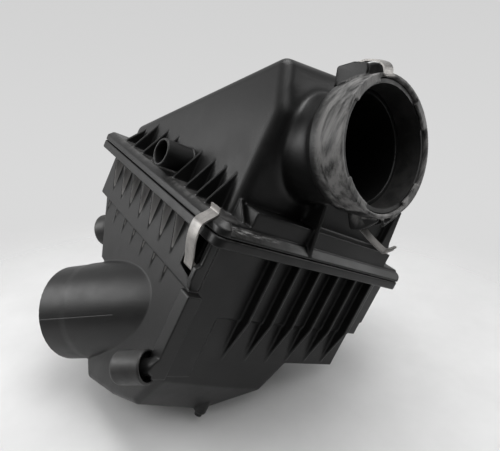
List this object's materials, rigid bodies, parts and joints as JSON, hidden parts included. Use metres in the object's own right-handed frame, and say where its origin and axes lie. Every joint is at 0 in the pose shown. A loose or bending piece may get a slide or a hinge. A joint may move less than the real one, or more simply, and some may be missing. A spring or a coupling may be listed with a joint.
{
  "type": "air filter housing",
  "caption": "Two-part engine air filter housing: deep lower case with round inlet stub, wedge-shaped lid with round clipped outlet collar, spring clips and a pleated panel filter.",
  "frame": {"origin": "on the axis of the locating peg under the sump, at the middle of its free length", "axes": "+Z at right angles to the parting flange, towards the lid; +Y from the outlet side to the back; +X to the right seen from the outlet side"},
  "size_m": [0.2617, 0.3011, 0.3493],
  "materials": {
    "housing": "satin moulded glass-filled plastic, slightly dusty",
    "rubber": "matt rubber",
    "spring_steel": "zinc-plated spring steel strip",
    "pin_steel": "drawn steel pin",
    "seal": "soft moulded polyurethane",
    "paper": "pleated filter paper"
  },
  "bodies": {
    "case": {"lower_case": "housing", "inlet_stub": "housing", "front_bush": "rubber", "rear_bush": "rubber", "pin_left": "pin_steel", "pin_rear": "pin_steel", "pin_right_front": "pin_steel", "pin_right_rear": "pin_steel"},
    "lid": {"upper_case": "housing", "outlet_collar": "housing", "outlet_sleeve": "rubber", "collar_pin_top": "pin_steel", "collar_pin_bottom": "pin_steel"},
    "filter": {"filter_frame": "seal", "filter_pleats": "paper"},
    "collar_clip_top": {"collar_clip_top": "spring_steel"},
    "collar_clip_bottom": {"collar_clip_bottom": "spring_steel"},
    "clip_left": {"clip_left": "spring_steel"},
    "clip_rear": {"clip_rear": "spring_steel"},
    "clip_right_front": {"clip_right_front": "spring_steel"},
    "clip_right_rear": {"clip_right_rear": "spring_steel"}
  },
  "joints": [
    {"name": "lid_lift", "type": "slide", "parent": "case", "child": "lid", "axis": [0, 0, 1], "range_m": [0, 0.06]},
    {"name": "filter_lift", "type": "slide", "parent": "case", "child": "filter", "axis": [0, 0, 1], "range_m": [0, 0.03]},
    {"name": "clip_left_swing", "type": "hinge", "parent": "case", "child": "clip_left", "pos_m": [-0.0805, -0.0085, 0.138], "axis": [0, -1, 0], "range_deg": [0, 120]},
    {"name": "clip_rear_swing", "type": "hinge", "parent": "case", "child": "clip_rear", "pos_m": [-0.0345, 0.21, 0.138], "axis": [-1, 0, 0], "range_deg": [0, 120]},
    {"name": "clip_right_front_swing", "type": "hinge", "parent": "case", "child": "clip_right_front", "pos_m": [0.1355, 0.048, 0.138], "axis": [0, 1, 0], "range_deg": [0, 120]},
    {"name": "clip_right_rear_swing", "type": "hinge", "parent": "case", "child": "clip_right_rear", "pos_m": [0.1355, 0.1645, 0.138], "axis": [0, 1, 0], "range_deg": [0, 120]},
    {"name": "collar_clip_top_swing", "type": "hinge", "parent": "lid", "child": "collar_clip_top", "pos_m": [-0.03016, -0.01835, 0.30612], "axis": [-0.9175, -0.0978, -0.3855], "range_deg": [0, 95]},
    {"name": "collar_clip_bottom_swing", "type": "hinge", "parent": "lid", "child": "collar_clip_bottom", "pos_m": [0.01264, -0.05134, 0.21261], "axis": [0.9175, 0.0978, 0.3855], "range_deg": [-48, 60]}
  ],
  "couplings": [
    {"joint": "filter_lift", "follows": "lid_lift", "ratio": 0.5},
    {"joint": "clip_left_swing", "follows": "lid_lift", "rad_per_m": 34.9},
    {"joint": "clip_rear_swing", "follows": "lid_lift", "rad_per_m": 34.9},
    {"joint": "clip_right_front_swing", "follows": "lid_lift", "rad_per_m": 34.9},
    {"joint": "clip_right_rear_swing", "follows": "lid_lift", "rad_per_m": 34.9}
  ]
}
